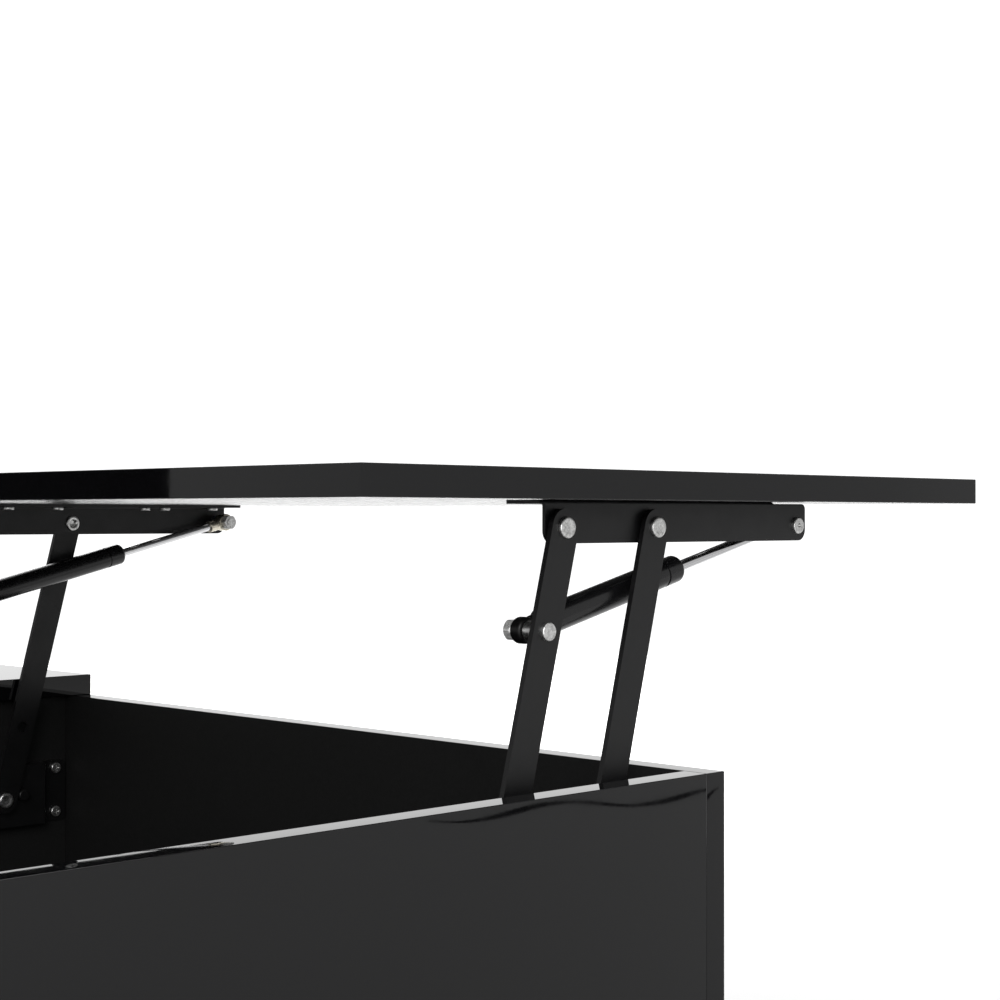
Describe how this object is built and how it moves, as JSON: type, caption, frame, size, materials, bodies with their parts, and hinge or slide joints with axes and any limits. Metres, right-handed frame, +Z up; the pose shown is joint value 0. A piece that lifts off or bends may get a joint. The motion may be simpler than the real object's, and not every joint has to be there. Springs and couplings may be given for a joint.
{
  "type": "lift top coffee table",
  "caption": "Lift top coffee table: storage box whose gloss top rises forward on linkages with gas struts, beside a fixed top over an open shelf bay.",
  "frame": {"origin": "on the floor in the middle of the table's footprint, on the centre glide's face", "axes": "+Z up, +X along the table's length towards the fixed top, -Y towards the user, the way the top rises"},
  "size_m": [0.9, 0.7488, 0.5513],
  "materials": {
    "gloss_black_board": "high gloss black lacquered board",
    "black_steel": "satin black powder coat on sheet steel",
    "strut_black": "semi-gloss black painted steel tube",
    "zinc_steel": "bright zinc plated steel",
    "yellow_zinc": "yellow zinc plated steel",
    "chrome_rod": "polished hard chrome",
    "black_plastic": "moulded black nylon",
    "dowel_beech": "bare beech"
  },
  "bodies": {
    "base": {"left_side_panel": "gloss_black_board", "right_side_panel": "gloss_black_board", "front_panel": "gloss_black_board", "rear_panel": "gloss_black_board", "bottom_panel": "gloss_black_board", "partition_panel": "gloss_black_board", "fixed_top_panel": "gloss_black_board", "bay_shelf": "gloss_black_board", "wood_dowels": "dowel_beech", "cam_bolts": "zinc_steel", "cam_locks": "zinc_steel", "shelf_pins": "zinc_steel", "floor_glides": "black_plastic", "left_base_bracket": "black_steel", "left_base_bracket_screws": "zinc_steel", "left_base_pivot_rivets": "zinc_steel", "left_base_pivot_washers": "black_plastic", "left_stop_pin": "black_steel", "right_base_bracket": "black_steel", "right_base_bracket_screws": "zinc_steel", "right_base_pivot_rivets": "zinc_steel", "right_base_pivot_washers": "black_plastic", "right_stop_pin": "black_steel"},
    "lifting_top": {"lifting_top_panel": "gloss_black_board", "left_top_bracket": "black_steel", "left_top_bracket_screws": "zinc_steel", "left_top_pivot_rivets": "zinc_steel", "left_top_pivot_washers": "black_plastic", "left_upper_strut_stud": "zinc_steel", "right_top_bracket": "black_steel", "right_top_bracket_screws": "zinc_steel", "right_top_pivot_rivets": "zinc_steel", "right_top_pivot_washers": "black_plastic", "right_upper_strut_stud": "zinc_steel"},
    "left_rear_link": {"left_rear_link": "black_steel", "left_lower_strut_stud": "zinc_steel", "left_lower_stud_nut": "zinc_steel"},
    "left_front_link": {"left_front_link": "black_steel"},
    "left_strut_cylinder": {"left_strut_cylinder": "strut_black", "left_strut_lower_eye": "black_plastic", "left_strut_rod_guide": "black_plastic"},
    "left_strut_rod": {"left_strut_rod": "chrome_rod", "left_strut_piston": "black_plastic", "left_strut_upper_eye": "yellow_zinc", "left_upper_stud_pin": "zinc_steel", "left_upper_stud_nut": "zinc_steel"},
    "right_rear_link": {"right_rear_link": "black_steel", "right_lower_strut_stud": "zinc_steel", "right_lower_stud_nut": "zinc_steel"},
    "right_front_link": {"right_front_link": "black_steel"},
    "right_strut_cylinder": {"right_strut_cylinder": "strut_black", "right_strut_lower_eye": "black_plastic", "right_strut_rod_guide": "black_plastic"},
    "right_strut_rod": {"right_strut_rod": "chrome_rod", "right_strut_piston": "black_plastic", "right_strut_upper_eye": "yellow_zinc", "right_upper_stud_pin": "zinc_steel", "right_upper_stud_nut": "zinc_steel"}
  },
  "joints": [
    {"name": "lift", "type": "hinge", "parent": "base", "child": "left_rear_link", "pos_m": [-0.421, -0.1055, 0.3242], "axis": [1, 0, 0], "range_deg": [-88.38, 0]},
    {"name": "left_front_link_swing", "type": "hinge", "parent": "base", "child": "left_front_link", "pos_m": [-0.421, -0.1757, 0.3242], "axis": [1, 0, 0], "range_deg": [-88.38, 0]},
    {"name": "right_rear_link_swing", "type": "hinge", "parent": "base", "child": "right_rear_link", "pos_m": [0.143, -0.1055, 0.3242], "axis": [1, 0, 0], "range_deg": [-88.38, 0]},
    {"name": "right_front_link_swing", "type": "hinge", "parent": "base", "child": "right_front_link", "pos_m": [0.143, -0.1757, 0.3242], "axis": [1, 0, 0], "range_deg": [-88.38, 0]},
    {"name": "top_swing", "type": "hinge", "parent": "left_rear_link", "child": "lifting_top", "pos_m": [-0.421, -0.15752, 0.52249], "axis": [1, 0, 0], "range_deg": [0, 88.38]},
    {"name": "left_strut_swing", "type": "hinge", "parent": "left_rear_link", "child": "left_strut_cylinder", "pos_m": [-0.4058, -0.14402, 0.47103], "axis": [1, 0, 0], "range_deg": [0, 96.14]},
    {"name": "left_strut_stroke", "type": "slide", "parent": "left_strut_cylinder", "child": "left_strut_rod", "axis": [0, -0.9715, 0.237], "range_m": [-0.07001, 0]},
    {"name": "right_strut_swing", "type": "hinge", "parent": "right_rear_link", "child": "right_strut_cylinder", "pos_m": [0.1278, -0.14402, 0.47103], "axis": [1, 0, 0], "range_deg": [0, 96.14]},
    {"name": "right_strut_stroke", "type": "slide", "parent": "right_strut_cylinder", "child": "right_strut_rod", "axis": [0, -0.9715, 0.237], "range_m": [-0.07001, 0]}
  ],
  "couplings": [
    {"joint": "left_front_link_swing", "follows": "lift", "ratio": 1},
    {"joint": "right_rear_link_swing", "follows": "lift", "ratio": 1},
    {"joint": "right_front_link_swing", "follows": "lift", "ratio": 1},
    {"joint": "top_swing", "follows": "lift", "ratio": -1},
    {"joint": "left_strut_swing", "follows": "lift", "ratio": -1.0876},
    {"joint": "left_strut_stroke", "follows": "lift", "m_per_rad": 0.045383},
    {"joint": "right_strut_swing", "follows": "lift", "ratio": -1.0876},
    {"joint": "right_strut_stroke", "follows": "lift", "m_per_rad": 0.045383}
  ]
}
